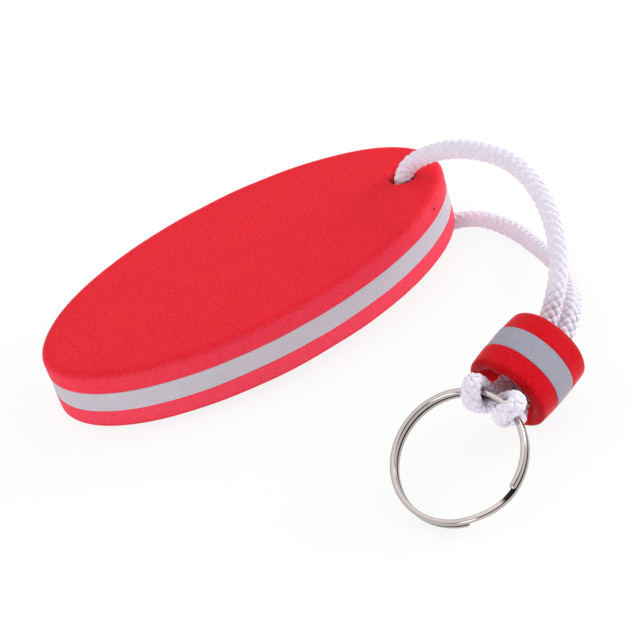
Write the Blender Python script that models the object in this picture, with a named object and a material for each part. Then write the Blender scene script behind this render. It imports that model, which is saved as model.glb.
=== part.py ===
"""Floating keychain: an oval foam float, a foam bead and a split ring on one white cord.

Everything is in metres with +Z up. The keychain lies on a table at z = 0, and the
origin is the point of the table under the middle of the foam and metal pieces.
"""

import math

import bmesh
import bpy
from mathutils import Matrix, Vector

# Foam sheet that both the float and the bead are cut from: red, grey and red, glued
SHEET_THICKNESS = 0.005
SHEETS = 3
GLUE_GAP = 0.0003

# Float
FLOAT_LENGTH = 0.096
FLOAT_WIDTH = 0.047
FLOAT_TOP_ROUND = 0.0021
FLOAT_UNDER_ROUND = 0.0014
FLOAT_SEGMENTS = 96

# Cord, and the hole that it passes through near the float's tip
CORD_DIAMETER = 0.0043
CORD_CLEARANCE = 0.00035
REST_CLEARANCE = 0.0003
TABLE_CLEARANCE = 0.0001
HOLE_FROM_TIP = 0.010
HOLE_SIDEWAYS = -0.0019
HOLE_TOP_ROUND = 0.0015
HOLE_UNDER_ROUND = 0.0022
HOLE_MOUTH = Vector((0.0383, 0.0301))

# Bead, punched from the same glued sheet, with two strands of the cord side by side
BEAD_DIAMETER = 0.0185
BEAD_ROUND = 0.0012
BEAD_SEGMENTS = 56
STRAND_SPACING = 0.0048
BORE_ROUND = 0.0008
DIMPLE_RADIUS = 0.0073
DIMPLE_DEPTH = 0.0033
BEAD_RING_END = Vector((0.02300, -0.03424, 0.00943))
BEAD_HEADING = math.radians(19.4)
BEAD_RISE = math.radians(9.6)
BEAD_ROLL = math.radians(39.5)

# Split ring: two turns of flat wire, held up by the cord at the hitch
RING_OUTER_DIAMETER = 0.028
WIRE_WIDTH = 0.0011
WIRE_HEIGHT = 0.0013
WIRE_CORNER = 0.0004
TURN_GAP = 0.00015
WIRE_END_LENGTH = 0.0008
WIRE_END_TAPER = 0.35
RING_STEPS_PER_TURN = 84
RING_HEADING = math.radians(-150)
HITCH_POINT = Vector((0.01870, -0.03785, 0.01398))
HITCH_ANGLE = math.radians(-9)
CROSSOVER_START = math.radians(-104)
CROSSOVER_END = math.radians(-150)

# The cord's own path: from the middle of the bead, twice round the ring's wire, back
# through the bead, along the table, up the float's hole and back into the bead. Drawn
# tight round the wire, in the spans of the hitch, it is squeezed thinner.
CORD_ROUTE = [
    (0.0291, -0.0301, 0.0122), (0.0246, -0.0317, 0.0114), (0.0204, -0.0317, 0.0122),
    (0.0168, -0.0325, 0.0166), (0.0150, -0.0342, 0.0172), (0.0140, -0.0355, 0.0155),
    (0.0147, -0.0355, 0.0124), (0.0171, -0.0350, 0.0107), (0.0199, -0.0355, 0.0112),
    (0.0215, -0.0368, 0.0132), (0.0211, -0.0387, 0.0159), (0.0192, -0.0413, 0.0170),
    (0.0173, -0.0427, 0.0157), (0.0170, -0.0426, 0.0126), (0.0190, -0.0419, 0.0102),
    (0.0210, -0.0417, 0.0095), (0.0224, -0.0394, 0.0081), (0.0264, -0.0350, 0.0084),
    (0.0308, -0.0334, 0.0092), (0.0381, -0.0309, 0.0105), (0.0468, -0.0260, 0.0134),
    (0.0512, -0.0155, 0.0106), (0.0548, -0.0041, 0.0068), (0.0568, 0.0074, 0.0034),
    (0.0567, 0.0172, 0.0024), (0.0530, 0.0260, 0.0024), (0.0474, 0.0297, 0.0024),
    (0.0426, 0.0301, 0.0024), (0.0391, 0.0301, 0.0044), (0.0381, 0.0301, 0.0095),
    (0.0378, 0.0301, 0.0141), (0.0376, 0.0301, 0.0189), (0.0394, 0.0285, 0.0225),
    (0.0440, 0.0227, 0.0270), (0.0485, 0.0159, 0.0294), (0.0520, 0.0065, 0.0300),
    (0.0530, -0.0025, 0.0283), (0.0511, -0.0124, 0.0246), (0.0460, -0.0216, 0.0196),
    (0.0367, -0.0275, 0.0135), (0.0296, -0.0300, 0.0123),
]
CORD_STEPS = 2
HITCH_SQUEEZE = 0.87
HITCH_SPANS = (2, 15)

EDGE_STEPS = 4
DIMPLE_STEPS = 5
CUTTER_MARGIN = 0.001
CUTTER_SEGMENTS = 32


def clear_scene():
    for obj in list(bpy.data.objects):
        bpy.data.objects.remove(obj)


def material(name, colour, roughness, metallic=0.0):
    """A plain surface. The colour is a hex string, as a colour picker shows it."""
    made = bpy.data.materials.new(name)
    made.use_nodes = True
    surface = made.node_tree.nodes["Principled BSDF"]
    channels = [int(colour[i : i + 2], 16) / 255 for i in (1, 3, 5)]
    linear = [c / 12.92 if c <= 0.04045 else ((c + 0.055) / 1.055) ** 2.4 for c in channels]
    surface.inputs["Base Color"].default_value = (*linear, 1.0)
    surface.inputs["Roughness"].default_value = roughness
    surface.inputs["Metallic"].default_value = metallic
    return made


def frame(name, matrix):
    """An empty that carries the pieces made in its own axes."""
    empty = bpy.data.objects.new(name, None)
    empty.matrix_world = matrix
    bpy.context.scene.collection.objects.link(empty)
    return empty


def solid(name, loops, parent, surface=None):
    """A closed body skinned over a stack of loops, each loop counter-clockwise from above."""
    bm = bmesh.new()
    rings = [[bm.verts.new(point) for point in loop] for loop in loops]
    for low, high in zip(rings, rings[1:]):
        for i in range(len(low)):
            j = (i + 1) % len(low)
            bm.faces.new((low[i], low[j], high[j], high[i]))
    bm.faces.new(reversed(rings[0]))
    bm.faces.new(rings[-1])
    mesh = bpy.data.meshes.new(name)
    bm.to_mesh(mesh)
    bm.free()
    mesh.shade_smooth()
    mesh.set_sharp_from_angle(angle=math.radians(35))
    obj = bpy.data.objects.new(name, mesh)
    obj.parent = parent
    bpy.context.scene.collection.objects.link(obj)
    if surface:
        mesh.materials.append(surface)
    else:
        obj.hide_render = True
        obj.display_type = "WIRE"
    return obj


def cut(obj, cutter):
    boolean = obj.modifiers.new(cutter.name, "BOOLEAN")
    boolean.operation = "DIFFERENCE"
    boolean.solver = "EXACT"
    boolean.object = cutter


def oval_loop(half_length, half_width, grow, z, count):
    """An oval whose edge is moved outwards by grow, square to itself."""
    points = []
    for i in range(count):
        turn = 2 * math.pi * i / count
        normal = Vector((half_width * math.cos(turn), half_length * math.sin(turn), 0)).normalized()
        edge = Vector((half_length * math.cos(turn), half_width * math.sin(turn), z))
        points.append(edge + grow * normal)
    return points


def slot_loop(half_spacing, radius, z):
    """Two half circles joined by straight sides."""
    points = []
    for i in range(CUTTER_SEGMENTS):
        turn = 2 * math.pi * (i + 0.5) / CUTTER_SEGMENTS - math.pi / 2
        side = half_spacing if math.cos(turn) > 0 else -half_spacing
        points.append(Vector((side + radius * math.cos(turn), radius * math.sin(turn), z)))
    return points


def quarter_round(radius):
    """(depth below the face, distance from the wall) along a rounded edge, from the wall up."""
    angles = [math.pi / 2 * i / EDGE_STEPS for i in range(EDGE_STEPS + 1)]
    return [(radius * (1 - math.sin(a)), radius * (1 - math.cos(a))) for a in angles]


def sheet_loops(half_length, half_width, sheet, under_round, top_round, count):
    """One sheet of the glued stack, with the stack's rounded edge where it is outermost."""
    low = sheet * SHEET_THICKNESS
    high = low + SHEET_THICKNESS
    profile = []
    if sheet == 0:
        profile += [(-inset, depth) for depth, inset in reversed(quarter_round(under_round))]
    else:
        profile.append((0, low + GLUE_GAP / 2))
    if sheet == SHEETS - 1:
        profile += [(-inset, high - depth) for depth, inset in quarter_round(top_round)]
    else:
        profile.append((0, high - GLUE_GAP / 2))
    return [oval_loop(half_length, half_width, grow, z, count) for grow, z in profile]


def mouth_profile(length, low_round, high_round):
    """(widening, z) of a hole whose two mouths are rounded and that runs past both faces."""
    profile = [(low_round, -CUTTER_MARGIN)]
    profile += [(wider, depth) for depth, wider in reversed(quarter_round(low_round))]
    profile += [(wider, length - depth) for depth, wider in quarter_round(high_round)]
    profile.append((high_round, length + CUTTER_MARGIN))
    return profile


def stack_height():
    return SHEETS * SHEET_THICKNESS


def float_matrix():
    """The float rests on the edge of its tail and, at the hole, on the cord under it."""
    lift = TABLE_CLEARANCE + CORD_DIAMETER + REST_CLEARANCE
    reach = FLOAT_LENGTH - HOLE_FROM_TIP - FLOAT_UNDER_ROUND
    tilt = math.asin(lift / reach)
    hole = Vector((FLOAT_LENGTH / 2 - HOLE_FROM_TIP, HOLE_SIDEWAYS, 0))
    turn = Matrix.Rotation(-tilt, 4, "Y")
    return Matrix.Translation(Vector((*HOLE_MOUTH, lift)) - turn @ hole) @ turn


def make_float(red, grey):
    carrier = frame("float_frame", float_matrix())
    radius = CORD_DIAMETER / 2 + CORD_CLEARANCE
    middle = Vector((FLOAT_LENGTH / 2 - HOLE_FROM_TIP, HOLE_SIDEWAYS, 0))
    hole = solid(
        "float_hole_cutter",
        [
            [middle + point for point in oval_loop(radius, radius, widening, z, CUTTER_SEGMENTS)]
            for widening, z in mouth_profile(stack_height(), HOLE_UNDER_ROUND, HOLE_TOP_ROUND)
        ],
        carrier,
    )
    names = ["float_bottom_layer", "float_middle_layer", "float_top_layer"]
    for sheet, (name, foam) in enumerate(zip(names, [red, grey, red])):
        loops = sheet_loops(
            FLOAT_LENGTH / 2, FLOAT_WIDTH / 2, sheet, FLOAT_UNDER_ROUND, FLOAT_TOP_ROUND, FLOAT_SEGMENTS
        )
        cut(solid(name, loops, carrier, foam), hole)


def bead_matrix():
    """The bead's own Z runs from its ring end, and its two strands lie side by side along X."""
    along = Vector(
        (
            math.cos(BEAD_RISE) * math.cos(BEAD_HEADING),
            math.cos(BEAD_RISE) * math.sin(BEAD_HEADING),
            math.sin(BEAD_RISE),
        )
    )
    level = Vector((math.sin(BEAD_HEADING), -math.cos(BEAD_HEADING), 0))
    across = Matrix.Rotation(BEAD_ROLL, 3, along) @ level
    turn = Matrix((across, along.cross(across), along)).transposed()
    return Matrix.Translation(BEAD_RING_END) @ turn.to_4x4()


def make_bead(red, grey):
    carrier = frame("bead_frame", bead_matrix())
    radius = CORD_DIAMETER / 2 + CORD_CLEARANCE
    bore = solid(
        "bead_bore_cutter",
        [
            slot_loop(STRAND_SPACING / 2, radius + widening, z)
            for widening, z in mouth_profile(stack_height(), BORE_ROUND, BORE_ROUND)
        ],
        carrier,
    )
    ball_radius = (DIMPLE_RADIUS**2 + DIMPLE_DEPTH**2) / (2 * DIMPLE_DEPTH)
    dimple_loops = [oval_loop(DIMPLE_RADIUS, DIMPLE_RADIUS, 0, -CUTTER_MARGIN, CUTTER_SEGMENTS)]
    for i in range(DIMPLE_STEPS):
        depth = DIMPLE_DEPTH * i / DIMPLE_STEPS
        across = math.sqrt(ball_radius**2 - (ball_radius - DIMPLE_DEPTH + depth) ** 2)
        dimple_loops.append(oval_loop(across, across, 0, depth, CUTTER_SEGMENTS))
    dimple = solid("bead_dimple_cutter", dimple_loops, carrier)
    names = ["bead_lower_layer", "bead_middle_layer", "bead_upper_layer"]
    for sheet, (name, foam) in enumerate(zip(names, [red, grey, red])):
        half = BEAD_DIAMETER / 2
        loops = sheet_loops(half, half, sheet, BEAD_ROUND, BEAD_ROUND, BEAD_SEGMENTS)
        layer = solid(name, loops, carrier, foam)
        cut(layer, bore)
        if sheet == 0:
            cut(layer, dimple)


def ring_matrix():
    """The ring leans from the table up to the hitch, where the cord holds it."""
    centre_radius = (RING_OUTER_DIAMETER - WIRE_WIDTH) / 2
    half_height = WIRE_HEIGHT + TURN_GAP / 2 - WIRE_CORNER
    span = RING_OUTER_DIAMETER / 2 - WIRE_CORNER + centre_radius * math.cos(HITCH_ANGLE)
    rise = HITCH_POINT.z - WIRE_CORNER
    lean = math.acos(rise / math.hypot(span, half_height)) + math.atan2(half_height, span)
    normal = Vector(
        (
            math.cos(lean) * math.cos(RING_HEADING),
            math.cos(lean) * math.sin(RING_HEADING),
            math.sin(lean),
        )
    )
    level = Vector((math.sin(RING_HEADING), -math.cos(RING_HEADING), 0))
    uphill = level.cross(normal)
    hitch = math.cos(HITCH_ANGLE) * uphill + math.sin(HITCH_ANGLE) * level
    turn = Matrix((uphill, level, normal)).transposed()
    return Matrix.Translation(HITCH_POINT - centre_radius * hitch) @ turn.to_4x4()


def wire_section():
    """The flat wire's rounded section, as (outwards, upwards), clockwise from its outer side."""
    half_width = WIRE_WIDTH / 2 - WIRE_CORNER
    half_height = WIRE_HEIGHT / 2 - WIRE_CORNER
    points = []
    for corner in range(4):
        for step in range(3):
            turn = -math.pi / 2 * (corner + step / 2)
            outwards = half_width if corner in (0, 3) else -half_width
            upwards = -half_height if corner in (0, 1) else half_height
            points.append((outwards + WIRE_CORNER * math.cos(turn), upwards + WIRE_CORNER * math.sin(turn)))
    return points


def make_split_ring(steel):
    """One wire: a turn on the upper side, a crossover, and a turn on the under side."""
    carrier = frame("ring_frame", ring_matrix())
    radius = (RING_OUTER_DIAMETER - WIRE_WIDTH) / 2
    rise = (WIRE_HEIGHT + TURN_GAP) / 2
    full = 2 * math.pi
    crossover = CROSSOVER_START - CROSSOVER_END
    turn_length = full - crossover
    travel = 2 * turn_length + crossover
    steps = round(2 * RING_STEPS_PER_TURN * travel / (2 * full))
    end_angle = WIRE_END_LENGTH / radius
    stations = [0, end_angle / 2] + [
        end_angle + (travel - 2 * end_angle) * i / steps for i in range(steps + 1)
    ] + [travel - end_angle / 2, travel]
    loops = []
    for station in stations:
        crossed = min(max((station - turn_length) / crossover, 0), 1)
        z = rise * math.cos(math.pi * crossed)
        from_end = min(station, travel - station, end_angle) / end_angle
        size = 1 - WIRE_END_TAPER * (1 - from_end) ** 2
        angle = CROSSOVER_START + station
        out = Vector((math.cos(angle), math.sin(angle), 0))
        loops.append(
            [
                out * (radius + size * outwards) + Vector((0, 0, z + size * upwards))
                for outwards, upwards in wire_section()
            ]
        )
    solid("split_ring", loops, carrier, steel)


def smooth_path(points, steps):
    """A smooth curve through every point: a centripetal Catmull-Rom spline."""
    points = [Vector(point) for point in points]
    ends = [2 * points[0] - points[1]] + points + [2 * points[-1] - points[-2]]
    path = []
    for before, start, end, after in zip(ends, ends[1:], ends[2:], ends[3:]):
        knots = [0]
        for a, b in ((before, start), (start, end), (end, after)):
            knots.append(knots[-1] + math.sqrt((b - a).length))
        for step in range(steps):
            t = knots[1] + (knots[2] - knots[1]) * step / steps
            a1 = before.lerp(start, (t - knots[0]) / (knots[1] - knots[0]))
            a2 = start.lerp(end, (t - knots[1]) / (knots[2] - knots[1]))
            a3 = end.lerp(after, (t - knots[2]) / (knots[3] - knots[2]))
            b1 = a1.lerp(a2, (t - knots[0]) / (knots[2] - knots[0]))
            b2 = a2.lerp(a3, (t - knots[1]) / (knots[3] - knots[1]))
            path.append(b1.lerp(b2, (t - knots[1]) / (knots[2] - knots[1])))
    return path + [points[-1]]


def make_cord(braid):
    curve = bpy.data.curves.new("cord", "CURVE")
    curve.dimensions = "3D"
    curve.bevel_depth = CORD_DIAMETER / 2
    curve.bevel_resolution = 3
    curve.use_fill_caps = True
    spline = curve.splines.new("POLY")
    path = smooth_path(CORD_ROUTE, CORD_STEPS)
    spline.points.add(len(path) - 1)
    for i, (point, place) in enumerate(zip(spline.points, path)):
        point.co = (*place, 1)
        span = i / CORD_STEPS
        from_hitch = max(HITCH_SPANS[0] - span, span - HITCH_SPANS[1], 0)
        point.radius = 1 - (1 - HITCH_SQUEEZE) * max(1 - from_hitch, 0)
    spline.use_smooth = True
    curve.materials.append(braid)
    bpy.context.scene.collection.objects.link(bpy.data.objects.new("cord", curve))


clear_scene()
red_foam = material("red_foam", "#dc2c39", 0.85)
grey_foam = material("grey_foam", "#b9b6bd", 0.85)
white_braid = material("white_braid", "#efeaf0", 0.9)
nickel_steel = material("nickel_steel", "#b5aca8", 0.25, metallic=1.0)
make_float(red_foam, grey_foam)
make_bead(red_foam, grey_foam)
make_split_ring(nickel_steel)
make_cord(white_braid)
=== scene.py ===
import math

import bpy
from mathutils import Matrix, Vector, noise


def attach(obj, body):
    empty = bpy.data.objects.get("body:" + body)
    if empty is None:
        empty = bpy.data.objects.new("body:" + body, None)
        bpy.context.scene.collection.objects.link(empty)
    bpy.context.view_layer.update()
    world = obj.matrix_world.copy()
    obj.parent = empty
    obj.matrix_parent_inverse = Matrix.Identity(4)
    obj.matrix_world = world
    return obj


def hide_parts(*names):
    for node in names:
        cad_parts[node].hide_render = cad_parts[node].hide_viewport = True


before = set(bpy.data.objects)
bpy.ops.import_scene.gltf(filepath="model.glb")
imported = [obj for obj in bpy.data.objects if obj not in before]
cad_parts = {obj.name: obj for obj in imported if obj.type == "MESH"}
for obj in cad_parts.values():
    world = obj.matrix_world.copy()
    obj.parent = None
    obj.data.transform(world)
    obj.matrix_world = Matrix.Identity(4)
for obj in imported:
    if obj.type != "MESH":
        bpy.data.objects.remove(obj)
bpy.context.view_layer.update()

MM = 0.001
FULL_TURN = 2 * math.pi


# %% [markdown]
# ## The camera
#
# Outlines in a photograph are only comparable when the camera stands in the same place.
# One way is to turn the view by hand until it looks right. Here the place, the direction
# and the lens were worked out from the float's oval outline, and are written as numbers.
# The three directions are the picture's right, its down and the way the lens looks.
# %% Place the camera
CAMERA_PLACE = Vector((-0.124826, -0.356501, 0.316906))
PICTURE_RIGHT = Vector((0.86572, -0.46385, -0.18808))
PICTURE_DOWN = Vector((-0.42627, -0.48627, -0.76278))
LENS_AXIS = Vector((0.26236, 0.74052, -0.61870))
LENS = 134.16
SENSOR = 36

camera_data = bpy.data.cameras.new("camera")
camera_data.lens = LENS
camera_data.sensor_width = SENSOR
camera = bpy.data.objects.new("camera", camera_data)
turn = Matrix((PICTURE_RIGHT, -PICTURE_DOWN, -LENS_AXIS)).transposed()
camera.matrix_world = Matrix.Translation(CAMERA_PLACE) @ turn.to_4x4()
bpy.context.scene.collection.objects.link(camera)
bpy.context.scene.camera = camera
bpy.context.scene.view_settings.view_transform = "Standard"
print("camera", round(CAMERA_PLACE.length / MM), "mm from the keychain")


# %% [markdown]
# ## Small helpers
#
# Materials and Geometry Nodes trees are both networks of nodes. Adding each node by hand
# takes several lines, so one helper adds any kind of node, sets its options and joins or
# fills its inputs. Colours are written as a colour picker shows them, and a second helper
# turns them into the linear values that a renderer adds up. Patterns are measured on the
# piece itself, in metres, so that they have the same size on every side.
# %% Helpers for nodes, colours and scales
MATH = "ShaderNodeMath"
VECTOR_MATH = "ShaderNodeVectorMath"
NOISE = "ShaderNodeTexNoise"
MAP_RANGE = "ShaderNodeMapRange"
# A Mix node has sockets of the same names for numbers and for colours. These are the
# places of its two colour inputs and of its colour output.
COLOUR_A, COLOUR_B, COLOUR_OUT = 6, 7, 2


def add(tree, kind, inputs=None, **options):
    """Add a node. An input is given a value, a socket, or a node for its first output."""
    node = tree.nodes.new(kind)
    for name, value in options.items():
        setattr(node, name, value)
    for name, value in (inputs or {}).items():
        if isinstance(value, bpy.types.Node):
            value = value.outputs[0]
        if isinstance(value, bpy.types.NodeSocket):
            tree.links.new(value, node.inputs[name])
        else:
            node.inputs[name].default_value = value
    return node


def from_hex(text):
    """A colour as a colour picker shows it, turned into the linear values of a socket."""
    channels = [int(text[i : i + 2], 16) / 255 for i in (1, 3, 5)]
    return (*[c / 12.92 if c <= 0.04045 else ((c + 0.055) / 1.055) ** 2.4 for c in channels], 1)


def per_metre(millimetres):
    """The scale of a texture whose features are this large."""
    return 1000 / millimetres


def new_material(name):
    """A material, its tree, its surface, and the place of a point on the piece."""
    material = bpy.data.materials.new(name)
    material.use_nodes = True
    tree = material.node_tree
    place = add(tree, "ShaderNodeTexCoord").outputs["Object"]
    return material, tree, tree.nodes["Principled BSDF"], place


# %% [markdown]
# ## Where the split ring lies
#
# The cord is drawn tight on the ring's wire, so its shape there depends on the ring, and
# the ring is placed first. It hangs in the cord's hitch by its upper side and leans on the
# table with its lower edge. The hitch's place is known, so the lean is the one angle at
# which the lower edge just touches the table.
# %% Where the split ring lies
RING_OUTER_DIAMETER = 28 * MM
WIRE_WIDTH = 1.1 * MM
WIRE_HEIGHT = 1.3 * MM
WIRE_CORNER = 0.28 * MM
TURN_GAP = 0.15 * MM
RING_HEADING = math.radians(-150)
HITCH_POINT = Vector((0.01870, -0.03785, 0.01398))
HITCH_ANGLE = math.radians(-9)

wire_circle = (RING_OUTER_DIAMETER - WIRE_WIDTH) / 2
half_height = WIRE_HEIGHT + TURN_GAP / 2 - WIRE_CORNER
span = RING_OUTER_DIAMETER / 2 - WIRE_CORNER + wire_circle * math.cos(HITCH_ANGLE)
lean = math.acos((HITCH_POINT.z - WIRE_CORNER) / math.hypot(span, half_height))
lean += math.atan2(half_height, span)
ring_normal = Vector(
    (
        math.cos(lean) * math.cos(RING_HEADING),
        math.cos(lean) * math.sin(RING_HEADING),
        math.sin(lean),
    )
)
ring_level = Vector((math.sin(RING_HEADING), -math.cos(RING_HEADING), 0))
ring_uphill = ring_level.cross(ring_normal)
to_hitch = math.cos(HITCH_ANGLE) * ring_uphill + math.sin(HITCH_ANGLE) * ring_level
ring_turn = Matrix((ring_uphill, ring_level, ring_normal)).transposed()
ring_place = Matrix.Translation(HITCH_POINT - wire_circle * to_hitch) @ ring_turn.to_4x4()
print("the split ring leans at", round(90 - math.degrees(lean)), "degrees from level")


# %% [markdown]
# ## The white braided cord
#
# The cord is plaited from ten full yarns over a soft core. Five wind one way and five
# the other, and each passes over one and under one, which gives the surface its rows of
# round knobs. A bump map on a tube would show the same pattern, but its outline would
# stay smooth, so the yarns are real geometry.
#
# The real yarns are bundles of fine synthetic fibres, which scatter the light and give a
# soft white with a faint violet tint. The yarns carry two attributes, the place across a
# yarn and along it, and the noise below is drawn out along the fibres. Real fibres are
# too fine to show, so these are drawn 0.12 mm wide.
# %% The cord's material
FIBRE_WIDTH, FIBRE_LENGTH = 0.12, 2
FUZZ_SIZE = 0.35
SOIL_SIZE = 6

white_braid, tree, surface, place = new_material("white_braid")
across = add(tree, "ShaderNodeAttribute", attribute_name="across").outputs["Fac"]
along = add(tree, "ShaderNodeAttribute", attribute_name="along").outputs["Fac"]
fibre_place = add(tree, "ShaderNodeCombineXYZ", {"X": across, "Y": along})
fibre_scale = (per_metre(FIBRE_WIDTH), per_metre(FIBRE_LENGTH), 1)
drawn_out = add(tree, "ShaderNodeMapping", {"Vector": fibre_place, "Scale": fibre_scale})
fibres = add(tree, NOISE, {"Vector": drawn_out, "Scale": 1, "Detail": 2})
fuzz = add(tree, NOISE, {"Vector": place, "Scale": per_metre(FUZZ_SIZE), "Detail": 3})
height = add(tree, MATH, {0: fibres, 1: fuzz}, operation="ADD")
bump = add(
    tree, "ShaderNodeBump", {"Height": height, "Strength": 0.35, "Distance": 0.12 * MM}
)
tree.links.new(bump.outputs["Normal"], surface.inputs["Normal"])
soil = add(tree, NOISE, {"Vector": place, "Scale": per_metre(SOIL_SIZE), "Detail": 3})
shade = add(tree, "ShaderNodeMix", {"Factor": soil}, data_type="RGBA")
shade.inputs[COLOUR_A].default_value = from_hex("#e0dae9")
shade.inputs[COLOUR_B].default_value = from_hex("#e9e5f1")
tree.links.new(shade.outputs[COLOUR_OUT], surface.inputs["Base Color"])
surface.inputs["Roughness"].default_value = 0.75
surface.inputs["Sheen Weight"].default_value = 0.2
surface.inputs["Sheen Roughness"].default_value = 0.4
print(white_braid.name, "has", len(tree.nodes), "nodes")


# %% [markdown]
# The cord starts in the middle of the bead, goes twice round the split ring's wire, back
# through the bead, along the table, up through the float and back into the bead. The
# photograph shows it from end to end, so its length is the length of this route. A smooth
# curve through a few dozen points bends like a real cord, where straight runs and arcs
# would look like bent wire.
#
# The foam presses on the cord in two places: under the float, whose weight lies on it, and
# in the float's hole. The cord is thinner there.
# %% The cord's route
CORD_DIAMETER = 4.3 * MM
CORD_ROUTE = [
    (0.0291, -0.0301, 0.0122), (0.0246, -0.0322, 0.0099), (0.0210, -0.0333, 0.0109),
    (0.0177, -0.0336, 0.0167), (0.0158, -0.0352, 0.0173), (0.0146, -0.0363, 0.0156),
    (0.0153, -0.0362, 0.0125), (0.0171, -0.0359, 0.0109), (0.0188, -0.0363, 0.0107),
    (0.0205, -0.0373, 0.0110), (0.0220, -0.0388, 0.0122), (0.0224, -0.0412, 0.0141),
    (0.0210, -0.0439, 0.0157), (0.0185, -0.0448, 0.0160), (0.0170, -0.0436, 0.0145),
    (0.0175, -0.0419, 0.0116), (0.0194, -0.0409, 0.0102), (0.0213, -0.0416, 0.0097),
    (0.0224, -0.0394, 0.0081), (0.0264, -0.0350, 0.0084),
    (0.0308, -0.0334, 0.0092), (0.0376, -0.0307, 0.0106), (0.0450, -0.0251, 0.0129),
    (0.0506, -0.0153, 0.0106), (0.0546, -0.0041, 0.0068), (0.0567, 0.0076, 0.0034),
    (0.0566, 0.0178, 0.0024), (0.0530, 0.0268, 0.0024), (0.0474, 0.0303, 0.0024),
    (0.0426, 0.0301, 0.0024), (0.0391, 0.0301, 0.0044), (0.0381, 0.0301, 0.0095),
    (0.0380, 0.0303, 0.0141), (0.0386, 0.0307, 0.0189), (0.0405, 0.0293, 0.0225),
    (0.0446, 0.0232, 0.0270), (0.0485, 0.0159, 0.0294), (0.0520, 0.0065, 0.0300),
    (0.0528, -0.0025, 0.0283), (0.0507, -0.0122, 0.0247), (0.0454, -0.0213, 0.0200),
    (0.0367, -0.0275, 0.0135), (0.0296, -0.0300, 0.0123),
]
STEPS_A_SPAN = 12
SMOOTHINGS = 8
# the first and last point of the route that the foam presses on, and the thickness left
SQUEEZED = [((27, 29), 0.86), ((31, 34), 0.93)]


def smooth_path(points, steps):
    """A smooth curve through every point: a centripetal Catmull-Rom spline."""
    points = [Vector(point) for point in points]
    ends = [2 * points[0] - points[1]] + points + [2 * points[-1] - points[-2]]
    path = []
    for before, start, end, after in zip(ends, ends[1:], ends[2:], ends[3:]):
        knots = [0]
        for a, b in ((before, start), (start, end), (end, after)):
            knots.append(knots[-1] + math.sqrt((b - a).length))
        for step in range(steps):
            t = knots[1] + (knots[2] - knots[1]) * step / steps
            a1 = before.lerp(start, (t - knots[0]) / (knots[1] - knots[0]))
            a2 = start.lerp(end, (t - knots[1]) / (knots[2] - knots[1]))
            a3 = end.lerp(after, (t - knots[2]) / (knots[3] - knots[2]))
            b1 = a1.lerp(a2, (t - knots[0]) / (knots[2] - knots[0]))
            b2 = a2.lerp(a3, (t - knots[1]) / (knots[3] - knots[1]))
            path.append(b1.lerp(b2, (t - knots[1]) / (knots[2] - knots[1])))
    return path + [points[-1]]


cord_path = smooth_path(CORD_ROUTE, STEPS_A_SPAN)
for _ in range(SMOOTHINGS):
    middles = [(a + 2 * b + c) / 4 for a, b, c in zip(cord_path, cord_path[1:], cord_path[2:])]
    cord_path = [cord_path[0], *middles, cord_path[-1]]

route_curve = bpy.data.curves.new("cord_route", "CURVE")
route_curve.dimensions = "3D"
spline = route_curve.splines.new("POLY")
spline.points.add(len(cord_path) - 1)
for i, (point, spot) in enumerate(zip(spline.points, cord_path)):
    point.co = (*spot, 1)
    reached = i / STEPS_A_SPAN
    for (first, last), squeeze in SQUEEZED:
        outside = max(first - reached, reached - last, 0)
        point.radius -= (1 - squeeze) * max(1 - outside, 0)
print("the route has", len(cord_path), "points")


# %% [markdown]
# A Geometry Nodes tree plaits the yarns. A tree with named inputs is a small machine that
# can make any round braid: the sizes below are only its settings for this cord.
# %% What the plait's tree is given
plait = bpy.data.node_groups.new("plaited_cord", "GeometryNodeTree")
kinds = {"Route": "NodeSocketGeometry", "Yarns": "NodeSocketInt", "Braid": "NodeSocketMaterial"}
for name in ("Turn", "Yarn circle", "Wave", "Yarn width", "Yarn height", "Core", "Step"):
    kinds[name] = "NodeSocketFloat"
socket_names = {}
for name, kind in kinds.items():
    made = plait.interface.new_socket(name, in_out="INPUT", socket_type=kind)
    socket_names[name] = made.identifier
plait.interface.new_socket("Cord", in_out="OUTPUT", socket_type="NodeSocketGeometry")
given = add(plait, "NodeGroupInput").outputs
print("the plait's tree is given:", ", ".join(kinds))


# %% [markdown]
# The tree copies the route once for each yarn and turns each copy round the route as a
# helix. Even copies wind one way and odd copies the other, and the copies of one hand
# start at equal distances round the cord.
# %% The angle of each yarn round the route
route = add(
    plait,
    "GeometryNodeResampleCurve",
    {"Curve": given["Route"], "Length": given["Step"]},
    mode="LENGTH",
)
copies = add(
    plait,
    "GeometryNodeDuplicateElements",
    {"Geometry": route, "Amount": given["Yarns"]},
    domain="SPLINE",
)
number = copies.outputs["Duplicate Index"]
length = add(plait, "GeometryNodeSplineParameter").outputs["Length"]
is_odd = add(plait, MATH, {0: number, 1: 2.0}, operation="MODULO")
hand = add(plait, MATH, {0: is_odd, 1: -2.0, 2: 1.0}, operation="MULTIPLY_ADD")
yarns_a_hand = add(plait, MATH, {0: given["Yarns"], 1: 2.0}, operation="DIVIDE")
half_number = add(plait, MATH, {0: number, 1: 2.0}, operation="DIVIDE")
number_in_hand = add(plait, MATH, {0: half_number}, operation="FLOOR")
lane = add(plait, MATH, {0: number_in_hand, 1: yarns_a_hand}, operation="DIVIDE")
turns = add(plait, MATH, {0: length, 1: given["Turn"]}, operation="DIVIDE")
share_of_turn = add(plait, MATH, {0: hand, 1: turns, 2: lane}, operation="MULTIPLY_ADD")
angle = add(plait, MATH, {0: share_of_turn, 1: FULL_TURN}, operation="MULTIPLY")
print("nodes so far:", len(plait.nodes))


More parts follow.
